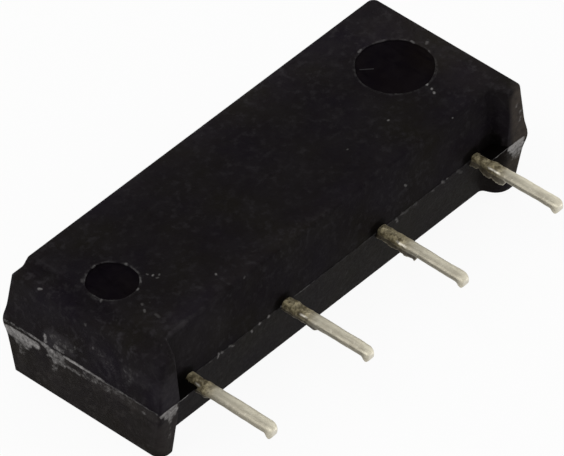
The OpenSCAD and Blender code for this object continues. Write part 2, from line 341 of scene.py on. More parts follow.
# Dust and small knocks
SPECKS = marks(
    # worn dots on the parting line of the recess
    (-662, -319, 255, -650, -319, 248, 8, 30),
    (-614, -319, 262, -612, -315, 238, 8, 70),
    (-598, -319, 260, -590, -318, 250, 8, 55),
    (-556, -319, 260, -550, -319, 254, 8, 45),
    (-540, -318, 246, -530, -317, 236, 8, 75),
    (-437, -318, 248, -431, -317, 236, 8, 95),
    (-400, -319, 258, -392, -318, 250, 8, 75),
    (-350, -319, 258, -344, -318, 250, 9, 85),
    (-284, -320, 258, -278, -320, 250, 7, 45),
    (-205, -319, 257, -135, -319, 257, 6, 30),
    (336, -318, 246, 350, -316, 222, 9, 60),
    (362, -319, 255, 395, -318, 245, 12, 22),
    (430, -319, 252, 445, -319, 246, 9, 26),
    (528, -319, 254, 542, -318, 240, 8, 42),
    (582, -319, 260, 598, -318, 244, 8, 48),
    (608, -319, 260, 612, -319, 254, 7, 42),
    (666, -319, 256, 695, -316, 224, 11, 20),
    # knocks on the ledge, the recess and the top edges
    (656, -299, 505, 660, -296, 505, 6, 90),
    (-953, 224, 476, -949, 216, 479, 7, 60),
    (390, -306, 372, 397, -306, 364, 6, 45),
    (-454, -294, 502, -448, -294, 505, 5, 22),
)

# Those on the flat top face, whose rows leave Z out
TOP_SPECKS = (
    # the rims of the ejector marks
    (-772, 133, -762, 137, 7, 26),
    (-686, 56, -678, 60, 7, 30),
    (-850, 114, -842, 122, 7, 14),
    (-880, -2, -872, 0, 7, 26),
    (-714, -40, -700, -24, 7, 26),
    (700, 187, 714, 188, 7, 34),
    (768, 174, 805, 160, 9, 14),
    (866, 72, 869, 82, 7, 34),
    (894, 34, 904, 38, 7, 24),
    (862, -6, 868, 2, 7, 20),
    # knocks and dust
    (-670, -30, -668, -34, 5, 22),
    (-660, -70, -656, -72, 5, 24),
    (-644, -66, -640, -62, 5, 26),
    (-662, -51, -658, -50, 5, 52),
    (-511, -213, -508, -209, 6, 50),
    (-818, -155, -810, -145, 6, 24),
    (-798, -124, -794, -120, 6, 16),
    (-804, -208, -800, -194, 9, 12),
    (-752, -60, -746, -58, 6, 42),
    (729, -113, 733, -111, 6, 80),
    (722, -142, 726, -140, 6, 70),
    (712, -162, 715, -158, 6, 75),
    (495, -134, 497, -135, 6, 50),
    (283, -126, 285, -125, 5, 30),
)
SPECKS += marks(*[(*row[:2], 100 * TOP_Z, *row[2:4], 100 * TOP_Z, *row[4:]) for row in TOP_SPECKS])


# Materials
def moulding_material(name, specular, polished):
    """Matt black moulding compound, or the smoother and darker floor of an ejector mark."""
    g = Graph(name)
    wear = g.attribute("wear")
    along = g.axis("X")

    tint = g.between(g.noise(0.35, 3), 0.35, 0.68)
    if polished:
        colour = g.mix(tint, (0.0044, 0.0034, 0.005), (0.0068, 0.0052, 0.0046))
        smear = g.between(g.noise(1.3, 4, 0.6), 0.4, 0.75)
        colour = g.over(colour, smear, 0.45, (0.012, 0.01, 0.011))
        streak = g.between(g.noise(0.9, 3, 0.6, g.stretched((2.6, 0.8, 1.0))), 0.54, 0.7)
        colour = g.over(colour, streak, 0.5, (0.0022, 0.0016, 0.0026))
        hair = g.stroke(g.shaken(0.03, 2.0), (6.37, 1.26, 5.0), (6.72, 0.94, 5.0), 0.035)
        colour = g.over(colour, hair, 0.3, (0.1, 0.1, 0.1))
    else:
        colour = g.mix(tint, (0.0086, 0.0066, 0.0098), (0.0112, 0.0096, 0.0074))
        bloom_and_painted_light = g.attribute("bloom_and_painted_light")
        stain = g.attribute("stain")
        chalk = g.attribute("chalk")
        height = g.axis("Z")
        cloud = g.between(g.noise(1.1, 5, 0.6), 0.42, 0.7)
        colour = g.over(colour, cloud, 0.55, (0.017, 0.015, 0.0164))
        strong = g.between(along, -9.8, -8.6, 1.0, 0.65)
        strong = g.times(strong, g.between(g.noise(0.75, 3, 0.6), 0.42, 0.6, 0.4, 1.0))
        worms = g.times(g.between(g.noise(3.6, 3, 0.6), 0.51, 0.7), strong)
        colour = g.over(colour, worms, 0.85, (0.034, 0.031, 0.034))
        flecks = g.times(g.between(g.noise(9, 3, 0.6), 0.62, 0.76), strong)
        colour = g.over(colour, flecks, 0.6, (0.045, 0.042, 0.043))
        pits = g.between(g.noise(6, 3, 0.6), 0.26, 0.42, 1.0, 0.0)
        colour = g.over(colour, pits, 0.5, (0.0038, 0.0032, 0.0042))

        cells = g.add("TexVoronoi", {"Vector": g.mm, "Scale": 1.7, "Randomness": 1.0}, feature="F1")
        chosen = g.between(g.add("SeparateColor", {0: cells.outputs["Color"]}).outputs[0], 0.8, 0.82)
        dot = g.between(cells.outputs["Distance"], 0.03, 0.1, 1.0, 0.0)
        speck = g.times(g.times(dot, chosen), strong)
        colour = g.over(colour, speck, 0.4, (0.1, 0.095, 0.095))

        # pale bloom, and painted light on the fronts of the feet and along the top edge of the recess
        pale = g.mix(g.between(along, -9.0, 9.0), (0.058, 0.053, 0.058), (0.07, 0.058, 0.048))
        bloom = g.between(g.noise(3.2, 3, 0.6), 0.3, 0.7, 0.55, 1.35)
        colour = g.over(colour, bloom_and_painted_light, bloom, pale)
        under = g.between(height, 2.5, 2.58, 1.0, 0.0)
        warm = g.vector("MULTIPLY", colour, (1.04, 1.0, 0.86))[0]
        colour = g.mix(under, colour, warm)
        # painted shade in the pockets beside the feet, over the recess face and on the films, and dark flux
        # round the pins
        colour = g.mix(stain, colour, (0.0009, 0.0006, 0.0004))

        ragged = g.add("Math", {0: g.noise(6, 5, 0.72), 1: 2.4, 2: -1.2}, operation="MULTIPLY_ADD").outputs[0]
        lifted = g.between(chalk, 0.0, 0.4)
        broken = g.between(g.math("ADD", chalk, g.times(ragged, lifted)), 0.22, 1.35)
        dusty = g.between(g.noise(10, 4, 0.7), 0.3, 0.65, 0.7, 1.0)
        broken = g.times(g.math("POWER", broken, 1.5), dusty)
        colour = g.mix(broken, colour, (0.39, 0.376, 0.367))
        knocks = g.times(g.strokes(g.shaken(0.05, 5.0), SPECKS), dusty)
        colour = g.mix(knocks, colour, (0.27, 0.26, 0.255))

    rough_edge = g.between(g.noise(7, 4, 0.7), 0.4, 0.68)
    colour = g.mix(g.times(wear, rough_edge, clamp=True), colour, (0.2, 0.195, 0.19))

    grain = g.noise(9, 4, 0.65)
    normal = g.bumped(grain, 0.004 if polished else 0.012)
    normal = g.bumped(g.noise(28, 3, 0.6), 0.002 if polished else 0.003, normal=normal)
    rough = g.between(grain, 0.3, 0.7, 0.5, 0.64)
    return g.principled(colour, rough, normal, {"Specular IOR Level": specular})


def tinned_material():
    g = Graph("tinned_pin")
    flux = g.attribute("flux")
    bright = g.attribute("bright")
    under = g.attribute("under")
    web = g.attribute("web")
    streak = g.noise(1.0, 4, 0.6, g.stretched((14, 2.0, 14)))
    blotch = g.noise(2.6, 4, 0.6)
    crust = g.noise(5.0, 5, 0.65)
    colour = g.mix(g.between(blotch, 0.36, 0.64), (0.6, 0.56, 0.45), (0.73, 0.69, 0.56))
    colour = g.over(colour, g.between(streak, 0.5, 0.72), 0.4, (0.31, 0.285, 0.22))
    # painted shade: the pin's lower side, upper left side, top near the wall and tip's lower right edge go
    # darker
    colour = g.over(colour, under, 0.85, (0.19, 0.172, 0.135))
    colour = g.over(colour, g.between(g.noise(9, 3, 0.6), 0.58, 0.74), 0.45, (0.68, 0.64, 0.54))
    stained = g.times(flux, g.between(crust, 0.42, 0.6), clamp=True)
    colour = g.over(colour, flux, 0.6, (0.31, 0.252, 0.116))
    colour = g.over(colour, stained, 0.9, (0.05, 0.034, 0.009))
    resin = g.times(web, g.between(crust, 0.3, 0.6, 1.0, 0.7), clamp=True)
    colour = g.mix(resin, colour, (0.034, 0.026, 0.018))
    # painted highlight: the tip's end, the glint near the wall and the web's rim turn pale and less rough
    colour = g.mix(bright, colour, (0.9, 0.86, 0.76))
    matt = g.math("MAXIMUM", g.times(stained, 0.8), resin)
    metal = g.between(matt, 0.0, 1.0, 0.88, 0.1)
    rough = g.between(streak, 0.3, 0.7, 0.48, 0.62)
    rough = g.math("SUBTRACT", rough, g.times(bright, 0.22))
    normal = g.bumped(streak, 0.01)
    normal = g.bumped(g.times(crust, g.math("MAXIMUM", flux, web)), 0.06, normal=normal)
    return g.principled(colour, rough, normal, {"Metallic": metal, "Specular IOR Level": 0.4})


def bobbin_material():
    g = Graph("bobbin_plastic")
    flow = g.noise(0.8, 4, 0.55)
    grain = g.noise(16, 3, 0.6)
    colour = g.mix(g.between(flow, 0.35, 0.65), (0.7, 0.665, 0.58), (0.76, 0.73, 0.655))
    return g.principled(colour, g.between(grain, 0.3, 0.7, 0.42, 0.58), g.bumped(grain, 0.01),
                        {"Subsurface Weight": 0.08, "Subsurface Scale": 0.0004})


def copper_material():
    g = Graph("copper_wire")
    turns = g.add("TexWave", {"Vector": g.mm, "Scale": 4.0, "Distortion": 0.25, "Detail": 1.0},
                  wave_type="BANDS", bands_direction="X", wave_profile="SIN").outputs["Fac"]
    tone = g.noise(0.9, 4, 0.6, g.stretched((6, 0.7, 0.7)))
    colour = g.mix(g.between(tone, 0.35, 0.65), (0.36, 0.105, 0.03), (0.55, 0.19, 0.055))
    colour = g.mix(g.between(turns, 0.0, 0.25, 0.7, 0.0), colour, (0.1, 0.03, 0.01))
    return g.principled(colour, g.between(tone, 0.3, 0.7, 0.26, 0.36), g.bumped(turns, 0.02),
                        {"Metallic": 0.85, "Coat Weight": 0.6, "Coat Roughness": 0.12})


def solder_material():
    g = Graph("solder")
    swirl = g.noise(3.5, 5, 0.6)
    colour = g.mix(g.between(swirl, 0.35, 0.65), (0.48, 0.48, 0.46), (0.66, 0.66, 0.64))
    rough = g.between(swirl, 0.3, 0.7, 0.16, 0.32)
    return g.principled(colour, rough, g.bumped(swirl, 0.02), {"Metallic": 1.0})


def glass_material():
    g = Graph("capsule_glass")
    striae = g.noise(1.2, 3, 0.5, g.stretched((0.4, 3, 3)))
    colour = g.mix(g.between(striae, 0.3, 0.7), (0.5, 0.74, 0.6), (0.58, 0.8, 0.67))
    return g.principled(colour, g.between(striae, 0.3, 0.7, 0.01, 0.04), g.bumped(striae, 0.004),
                        {"IOR": 1.5, "Transmission Weight": 0.95})


def reed_material():
    g = Graph("reed_metal")
    x = g.math("ABSOLUTE", g.axis("X"))
    plated = g.between(x, 0.95, 1.05, 1.0, 0.0)
    drawn = g.noise(1.0, 4, 0.6, g.stretched((1.2, 26, 26)))
    colour = g.mix(g.between(drawn, 0.35, 0.65), (0.36, 0.355, 0.335), (0.47, 0.465, 0.445))
    colour = g.mix(plated, colour, (0.7, 0.7, 0.69))
    rough = g.math("SUBTRACT", g.between(drawn, 0.3, 0.7, 0.3, 0.42), g.times(plated, 0.14))
    return g.principled(colour, rough, g.bumped(drawn, 0.004), {"Metallic": 1.0})


# Moulded body
OUTLINE_STEP = 0.085
END_STEP = 0.055
MIN_STEPS = 4
# Sides with the finer step: the fronts of both feet and the left end
FINE_SIDES = (0, 4, 7)
ARC_STEPS = 9
MIN_RADIUS = 0.008
# How a corner's radius grows from the parting plane to the large face
RADIUS_POWER = 1.2
FOOT_WALL_DRAFT = 5
TABLE_HEIGHTS = 48
RIM_STEPS = 6
LEDGE_SOFT = 0.1
LEDGE_PASSES = 20
# Heights of a wall's rings from the parting plane, which stand close together beside the flash
NEAR_PARTING = (0.036, 0.052, 0.075, 0.105, 0.14, 0.18, 0.225, 0.27, 0.32, 0.37, 0.42, 0.48, 0.55)
WALL_STEPS = 17

# One entry a mould half, with drafts in degrees, the feet's for the left and the right one. A corner's
# radii are at the parting plane and at the large face, in the order: left foot's outer and inner corner,
# both ends of the recess face, right foot's inner and outer corner, back right, back left.
UPPER = {
    "thickness": UPPER_T, "up": 1, "rim": 0.1, "ledge": True,
    "end_draft": 5.0, "back_draft": 5.5, "foot_drafts": (1, 1), "recess_draft": 5,
    "corners": ((0.08, 0.22), (0.03, 0.14), (0.04, 0.16), (0.04, 0.16),
                (0.03, 0.16), (0.03, 0.22), (0.04, 0.3), (0.01, 0.1)),
}
LOWER = {
    "thickness": LOWER_T, "up": -1, "rim": 0.07, "ledge": False,
    "end_draft": 6, "back_draft": 5, "foot_drafts": (5.5, 6.5), "recess_draft": 10.5,
    "corners": ((0.08, 0.44), (0.03, 0.12), (0.04, 0.16), (0.04, 0.22),
                (0.03, 0.72), (0.03, 0.1), (0.04, 0.25), (0.01, 0.02)),
}


def side_lines(h, half, inset):
    """A mould half's eight sides at height h from the parting plane, moved in by inset.

    Each is a point on it and its direction, and the outline turns left.
    """
    end_x = BODY_HALF_L - h * tan_deg(half["end_draft"]) - inset
    left_y, right_y = [SEAT_Y + h * tan_deg(draft) + inset for draft in half["foot_drafts"]]
    back_y = BACK_Y - h * tan_deg(half["back_draft"]) - inset
    recess_y = RECESS_Y + h * tan_deg(half["recess_draft"]) + inset
    wall = Vector((RECESS_FRONT_X - RECESS_ROOT_X, RECESS_Y - SEAT_Y)).normalized()
    wall_x = RECESS_ROOT_X + (h * tan_deg(FOOT_WALL_DRAFT) + inset) / wall.y
    return [
        ((0, left_y), (1, 0)),
        ((-wall_x, RECESS_Y), (wall.x, wall.y)),
        ((0, recess_y), (1, 0)),
        ((wall_x, RECESS_Y), (wall.x, -wall.y)),
        ((0, right_y), (1, 0)),
        ((end_x, 0), (0, 1)),
        ((0, back_y), (-1, 0)),
        ((-end_x, 0), (0, -1)),
    ]


def crossing(line_a, line_b):
    (ax, ay), (ux, uy) = line_a
    (bx, by), (vx, vy) = line_b
    t = ((bx - ax) * vy - (by - ay) * vx) / (ux * vy - uy * vx)
    return np.array([ax + t * ux, ay + t * uy])


def side_counts():
    """How many steps each straight side is divided into."""
    lines = side_lines(0, UPPER, 0)
    corners = [crossing(lines[i - 1], lines[i]) for i in range(len(lines))]
    counts = []
    for i, corner in enumerate(corners):
        length = np.linalg.norm(corners[(i + 1) % len(corners)] - corner)
        step = END_STEP if i in FINE_SIDES else OUTLINE_STEP
        counts.append(max(MIN_STEPS, round(length / step)))
    return counts


COUNTS = side_counts()


def outline_at(h, half, inset=0.0):
    """The body's outline at height h, with rounded corners and the same number of points at every height."""
    lines = side_lines(h, half, inset)
    share = (h / half["thickness"]) ** RADIUS_POWER
    arcs = []
    for i, (r0, r1) in enumerate(half["corners"]):
        before, after = lines[i - 1], lines[i]
        u, v = np.array(before[1], float), np.array(after[1], float)
        turn = math.atan2(u[0] * v[1] - u[1] * v[0], u @ v)
        r = max(r0 + (r1 - r0) * share - math.copysign(inset, turn), MIN_RADIUS)
        start = crossing(before, after) - u * r * math.tan(abs(turn) / 2)
        centre = start + math.copysign(r, turn) * np.array([-u[1], u[0]])
        x, y = start - centre
        turned = [(x * math.cos(a) - y * math.sin(a), x * math.sin(a) + y * math.cos(a))
                  for a in np.linspace(0, turn, ARC_STEPS)]
        arcs.append([centre + p for p in turned])
    points = []
    for i, arc in enumerate(arcs):
        points += arc
        start, end = arc[-1], arcs[(i + 1) % len(arcs)][0]
        points += [start + (end - start) * k / COUNTS[i] for k in range(1, COUNTS[i])]
    return np.array(points)


class OutlineTable:
    """Outlines of one mould half, read at a height of each point's own."""

    def __init__(self, half, inset):
        self.h = np.linspace(0, half["thickness"], TABLE_HEIGHTS)
        self.flat = np.array([outline_at(h, half, inset) for h in self.h])

    def read(self, h):
        place = np.clip(h / self.h[-1], 0, 1) * (TABLE_HEIGHTS - 1)
        low = np.minimum(place.astype(int), TABLE_HEIGHTS - 2)
        part = (place - low)[:, None]
        index = np.arange(self.flat.shape[1])
        return self.flat[low, index] * (1 - part) + self.flat[low + 1, index] * part


def outward_normals(points):
    """Outward unit normals of a closed outline that turns left."""
    tangent = np.roll(points, -1, axis=0) - np.roll(points, 1, axis=0)
    tangent /= np.linalg.norm(tangent, axis=1)[:, None]
    return np.column_stack([tangent[:, 1], -tangent[:, 0]])


def ledge_depth(x):
    """How far the top face lies below its plane at x, with both ends of the ramp rounded."""
    t = (LEDGE_TOP_X - np.asarray(x, float)) / (LEDGE_TOP_X - LEDGE_FLOOR_X)
    return LEDGE_D * 0.5 * (1 + np.sqrt(t * t + LEDGE_SOFT ** 2) - np.sqrt((t - 1) ** 2 + LEDGE_SOFT ** 2))


def half_rings(half):
    """The rings of one mould half from the flash to its large face: a list of (n, 3) arrays."""
    wall = OutlineTable(half, 0.0)
    n = wall.flat.shape[1]
    rim = half["rim"]
    full = np.full(n, half["thickness"])
    for _ in range(LEDGE_PASSES if half["ledge"] else 0):
        full = half["thickness"] - ledge_depth(wall.read(full)[:, 0])
    start = NEAR_PARTING[-1]
    heights = [np.full(n, h) for h in NEAR_PARTING]
    heights += [start + (full - rim - start) * (k + 1) / WALL_STEPS for k in range(WALL_STEPS - 1)]
    rings = [np.column_stack([wall.read(h), PARTING_Z + half["up"] * h]) for h in heights]
    for k in range(RIM_STEPS + 1):
        a = math.pi / 2 * k / RIM_STEPS
        h = full - rim * (1 - math.sin(a))
        flat = OutlineTable(half, rim * (1 - math.cos(a))).read(h)
        rings.append(np.column_stack([flat, PARTING_Z + half["up"] * h]))
    return rings


# Flash at the parting line: the box it stays in, and each ring's height and share of its reach
FLASH_LOW = (-BODY_HALF_L - FLASH_OUT, SEAT_Y - FLASH_OUT)
FLASH_HIGH = (BODY_HALF_L + FLASH_OUT, BACK_Y + FLASH_OUT)
FLASH_HALF = 0.024
FLASH_LEVELS = ((-FLASH_HALF, 0.9), (0.0, 1.0), (FLASH_HALF, 0.96))
# Films of flash that fill the corners between the outer pins and the feet: two ends of their front edge
FILMS = (((-8.78, -3.745), (-7.86, -3.735)), ((7.86, -3.745), (8.78, -3.74)))
FILM_MAX_Y = -3
# Upright corners of the body where the flash has gathered into a blob
BLOBS = ((-9.8, 3.71), (9.8, -3.71))
BLOB_REACH = 0.2
BLOB_HEIGHT = 0.45
BLOB_OUT = 0.09
BLOB_SHARE = 0.9


def flash_rings(lower, upper):
    """Three rings that stand out unevenly between the two halves' first rings, with their reach and films."""
    middle = (lower + upper) / 2
    normal = outward_normals(middle[:, :2])
    filmed = np.zeros(len(middle), bool)
    spot = np.column_stack([middle[:, :2], np.zeros(len(middle))])
    ragged = 0.5 + 0.5 * noise_at(spot, 2.1, 1) + 0.35 * noise_at(spot, 7.0, 2)
    stand = FLASH_OUT * np.clip(0.15 + 0.75 * ragged, 0.05, 0.92)
    for x, y in BLOBS:
        near = np.exp(-((spot[:, 0] - x) ** 2 + (spot[:, 1] - y) ** 2) / BLOB_REACH ** 2)
        stand = np.maximum(stand, FLASH_OUT * near)
    rings = []
    for level, share in FLASH_LEVELS:
        flat = np.clip(middle[:, :2] + normal * (stand * share)[:, None], FLASH_LOW, FLASH_HIGH)
        for (x0, y0), (x1, y1) in FILMS:
            inside = (flat[:, 0] > x0) & (flat[:, 0] < x1) & (flat[:, 1] < FILM_MAX_Y)
            edge = y0 + (y1 - y0) * (flat[:, 0] - x0) / (x1 - x0) + 0.02 * noise_at(spot, 6.0, 3)
            flat[:, 1] = np.where(inside, np.minimum(flat[:, 1], edge), flat[:, 1])
            filmed |= inside
        wave = 0.006 * noise_at(spot, 1.3, 3)
        rings.append(np.column_stack([flat, PARTING_Z + level + wave]))
    return rings, stand / FLASH_OUT, filmed


# Filling of a large face: columns of points (x, step in y), how uneven they are, and their room from edges
COARSE_COLUMNS = [(x, 0.3) for x in np.arange(-8.6, 9.6, 0.3)]
RAMP_COLUMNS = [(x, 0.16) for x in np.arange(-9.62, -8.62, 0.055)]
BOTTOM_COLUMNS = [(x, 0.3) for x in (-9.2, -8.9)]
FILL_HALF_Y = 3.6
FILL_JITTER = 0.25
FILL_ROOM = 0.07


def face_fill(ring, ring_ids, next_id, loops, columns):
    """Triangles that fill a large face inside its ring and round the given loops.

    Returns new points (x, y) and the triangles, with ids of the ring's and loops' points kept.
    """
    outline = ring[:, :2]
    points, ids, edges = [], [], []
    for loop, loop_ids in ((ring, ring_ids), *loops):
        start, n = len(points), len(loop)
        points += loop[:, :2].tolist()
        ids += loop_ids
        edges += [(start + i, start + (i + 1) % n) for i in range(n)]
    inner = np.array([(x, y + (rng.random() - 0.5) * step * FILL_JITTER)
                      for x, step in columns for y in np.arange(-FILL_HALF_Y, FILL_HALF_Y, step)])
    boundary = np.array(points)
    inner = inner[[np.min(np.sum((boundary - p) ** 2, axis=1)) > FILL_ROOM ** 2 for p in inner]]
    inner = inner[[inside_outline(p, outline) for p in inner]]
    for loop, _ in loops:
        centre = loop[:, :2].mean(axis=0)
        radius = np.linalg.norm(loop[0, :2] - centre)
        inner = inner[np.linalg.norm(inner - centre, axis=1) > radius + FILL_ROOM]
    points += inner.tolist()
    ids += range(next_id, next_id + len(inner))
    out_points, _, triangles, origin = delaunay_2d_cdt([Vector(p) for p in points], edges, [], 0, TINY)[:4]
    if len(out_points) != len(points):
        raise RuntimeError("the filling of a large face added or joined points")
    back = [o[0] for o in origin]
    kept = []
    for triangle in triangles:
        middle = np.mean([points[back[v]] for v in triangle], axis=0)
        in_loop = any(inside_outline(middle, loop[:, :2]) for loop, _ in loops)
        if inside_outline(middle, outline) and not in_loop:
            kept.append([ids[back[v]] for v in triangle])
    fixed_sides = {frozenset((ids[a], ids[b])) for a, b in edges}
    uses = Counter(side for triangle in kept for side in sides_of(triangle))
    kept = [t for t in kept if all(uses[side] == 2 or side in fixed_sides for side in sides_of(t))]
    return inner, kept


def sides_of(triangle):
    return [frozenset((triangle[i - 1], triangle[i])) for i in range(3)]


def inside_outline(p, outline):
    x, y = outline[:, 0], outline[:, 1]
    x2, y2 = np.roll(x, -1), np.roll(y, -1)
    with np.errstate(divide="ignore", invalid="ignore"):
        cut = (y > p[1]) != (y2 > p[1])
        hits = cut & (p[0] < (x2 - x) * (p[1] - y) / (y2 - y) + x)
    return int(hits.sum()) % 2 == 1


class Skin:
    """The moulding's mesh while it grows: its points, how worn each one is, and its faces."""

    def __init__(self):
        self.points = np.empty((0, 3))
        self.worn = np.empty(0)
        self.faces = []

    def add(self, points, worn=0.0):
        """Adds points and returns the id of the first one."""
        first = len(self.points)
        self.points = np.vstack([self.points, points])
        self.worn = np.concatenate([self.worn, np.full(len(points), worn)])
        return first

    def add_band(self, a, b, n):
        """Adds the faces between two rings of n points whose ids start at a and b."""
        self.faces += [(a + i, a + (i + 1) % n, b + (i + 1) % n, b + i) for i in range(n)]


# An ejector mark: each ring's distance from its radius and rise from the top face, then shares of its radius
MARK_RIM = ((0.11, 0.0), (0.025, 0.004), (0.006, 0.0), (-0.004, -0.03), (-0.012, -MARK_D + 0.016),
            (-0.04, -MARK_D))
MARK_FLOOR = (0.86, 0.66, 0.46, 0.26, 0.1)
MARK_POINTS = 120
MARK_WORN_RINGS = (1, 2)
MARK_WORN = 0.8
# Ring from which the floor's smoother material starts, which is also the first below the face
MARK_FLOOR_RING = 3


def add_mark(skin, x, y, r):
    """Adds an ejector mark, from the collar round it to its middle.

    Returns the collar's points and ids, and the first and the end of the faces in its smoother material.
    """
    angle = np.linspace(0, 2 * math.pi, MARK_POINTS, endpoint=False)
    circle = np.column_stack([x + r * np.cos(angle), y + r * np.sin(angle), np.zeros(MARK_POINTS)])
    wobble = 0.045 * noise_at(circle, 1.1, 11) + 0.022 * noise_at(circle, 4.0, 12)
    steps = [(r + out, rise) for out, rise in MARK_RIM] + [(r * share, -MARK_D) for share in MARK_FLOOR]
    first = len(skin.points)
    for k, (radius, rise) in enumerate(steps):
        reach = radius + (wobble * min(1.0, radius / r) if k > 0 else 0)
        ring = np.column_stack([x + reach * np.cos(angle), y + reach * np.sin(angle)])
        top = TOP_Z - ledge_depth(ring[:, 0]) * (k < MARK_FLOOR_RING)
        worn = MARK_WORN if k in MARK_WORN_RINGS else 0.0
        skin.add(np.column_stack([ring, top + rise]), worn)
    floor_face = len(skin.faces) + MARK_FLOOR_RING * MARK_POINTS
    for k in range(len(steps) - 1):
        skin.add_band(first + k * MARK_POINTS, first + (k + 1) * MARK_POINTS, MARK_POINTS)
    middle = skin.add([(x, y, TOP_Z - MARK_D)])
    last = middle - MARK_POINTS
    skin.faces += [(last + i, last + (i + 1) % MARK_POINTS, middle) for i in range(MARK_POINTS)]
    collar = skin.points[first:first + MARK_POINTS]
    return (collar, range(first, first + MARK_POINTS)), (floor_face, len(skin.faces))


def swell_blobs(points):
    """Pushes the walls near the blobs of flash out, towards the box of the flash but not onto it."""
    for x, y in BLOBS:
        away = np.sum((points[:, :2] - (x, y)) ** 2, axis=1) / BLOB_REACH ** 2
        near = np.exp(-away - ((points[:, 2] - PARTING_Z) / BLOB_HEIGHT) ** 2)
        gap = np.clip(np.array(FLASH_HIGH) - np.abs(points[:, :2]), 0, BLOB_OUT)
        points[:, :2] += np.sign((x, y)) * gap * (BLOB_SHARE * near)[:, None]


# Points above this height that aren't in a wall's ring lie on the top face
TOP_FACE_Z = 4.6


def roughen(points, normals, sides):
    """Moves the walls and the top face in unevenly and swells the blobs. The walls' points come first."""
    wave = 0.0035 * noise_at(points, 0.9, 4) + 0.0022 * noise_at(points, 4.5, 5)
    points[:sides] -= normals[:sides] * (np.abs(wave[:sides]) + 0.001)[:, None]
    swell_blobs(points)
    on_top = points[:, 2] > TOP_FACE_Z
    on_top[:sides] = False
    points[on_top, 2] -= np.abs(wave[on_top])


def soft_marks(points, table):
    """Strength of marks at each point: full within half of a mark's radius, and none past the radius."""
    total = np.zeros(len(points))
    for a, b, radius, strength in table:
        a, axis = np.array(a), np.subtract(b, a)
        share = np.clip((points - a) @ axis / max(axis @ axis, TINY), 0, 1)
        distance = np.linalg.norm(points - a - share[:, None] * axis, axis=1)
        total = np.maximum(total, strength * (1 - smoothstep(0.5 * radius, radius, distance)))
    return total


# Where marks reach: the recess face, and the feet's inner walls, which take only a share of them
RECESS_END_X = 8.65
RECESS_FRONT_Y = -3.4
WALL_END_X = 8.9
WALL_BACK_Y = -3.2
WALL_BLOOM_AND_LIGHT = 0.2
WALL_CHALK = 0.3
STAIN_AND_SHADE_FRONT_Y = -3.5
# Painted shade all over the recess face, below and above the parting plane
RECESS_SHADE = (0.36, 0.16)


def soil_and_painted_light(points, normals):
    """Chalk, pale bloom with painted light, and dark flux with painted shade at each point of the moulding.
    """
    faces_pins = normals[:, 1] < -0.9
    in_recess = faces_pins & (np.abs(points[:, 0]) < RECESS_END_X) & (points[:, 1] > RECESS_FRONT_Y)
    inner_wall = (np.abs(points[:, 0]) < WALL_END_X) & ~faces_pins & (points[:, 1] < WALL_BACK_Y)
    bloom_and_painted_light = soft_marks(points, BLOOM_AND_PAINTED_LIGHT) * np.where(inner_wall, WALL_BLOOM_AND_LIGHT, 1.0)
    chalk = soft_marks(points, CHALK) * np.where(inner_wall, WALL_CHALK, 1.0)
    stain = soft_marks(points, STAIN_AND_PAINTED_SHADE) * (points[:, 1] > STAIN_AND_SHADE_FRONT_Y)
    recess = np.where(points[:, 2] < PARTING_Z, *RECESS_SHADE)
    return {"chalk": chalk, "bloom_and_painted_light": bloom_and_painted_light, "stain": np.maximum(stain, np.where(in_recess, recess, 0))}


def worn_edges(skin, rings, flash_start, stand, filmed):
    """How worn each point of the moulding is, at the flash and at the rims of its large faces and marks."""
    points = skin.points
    n = len(rings[0])
    wear = np.zeros(len(points))
    for k in range(flash_start, flash_start + len(FLASH_LEVELS)):
        ring = slice(k * n, (k + 1) * n)
        edge = np.clip(0.05 + 0.9 * stand + 0.6 * noise_at(points[ring], 3.0, 6), 0, 1) * 0.3
        wear[ring] = edge if k == flash_start + 1 else np.where(filmed, 0, edge)
    for k in (*range(RIM_STEPS), *range(len(rings) - RIM_STEPS, len(rings))):
        ring = slice(k * n, (k + 1) * n)
        wear[ring] = np.clip(noise_at(points[ring], 1.2, 7) - 0.05, 0, 1) * 0.16
    return np.maximum(wear, skin.worn * np.clip(0.45 + noise_at(points, 2.4, 8), 0, 1) * 0.5)


# Painted shade on the films of flash in the corners, from their top ring to the wall's first ring above it
FILM_SHADE = 0.93


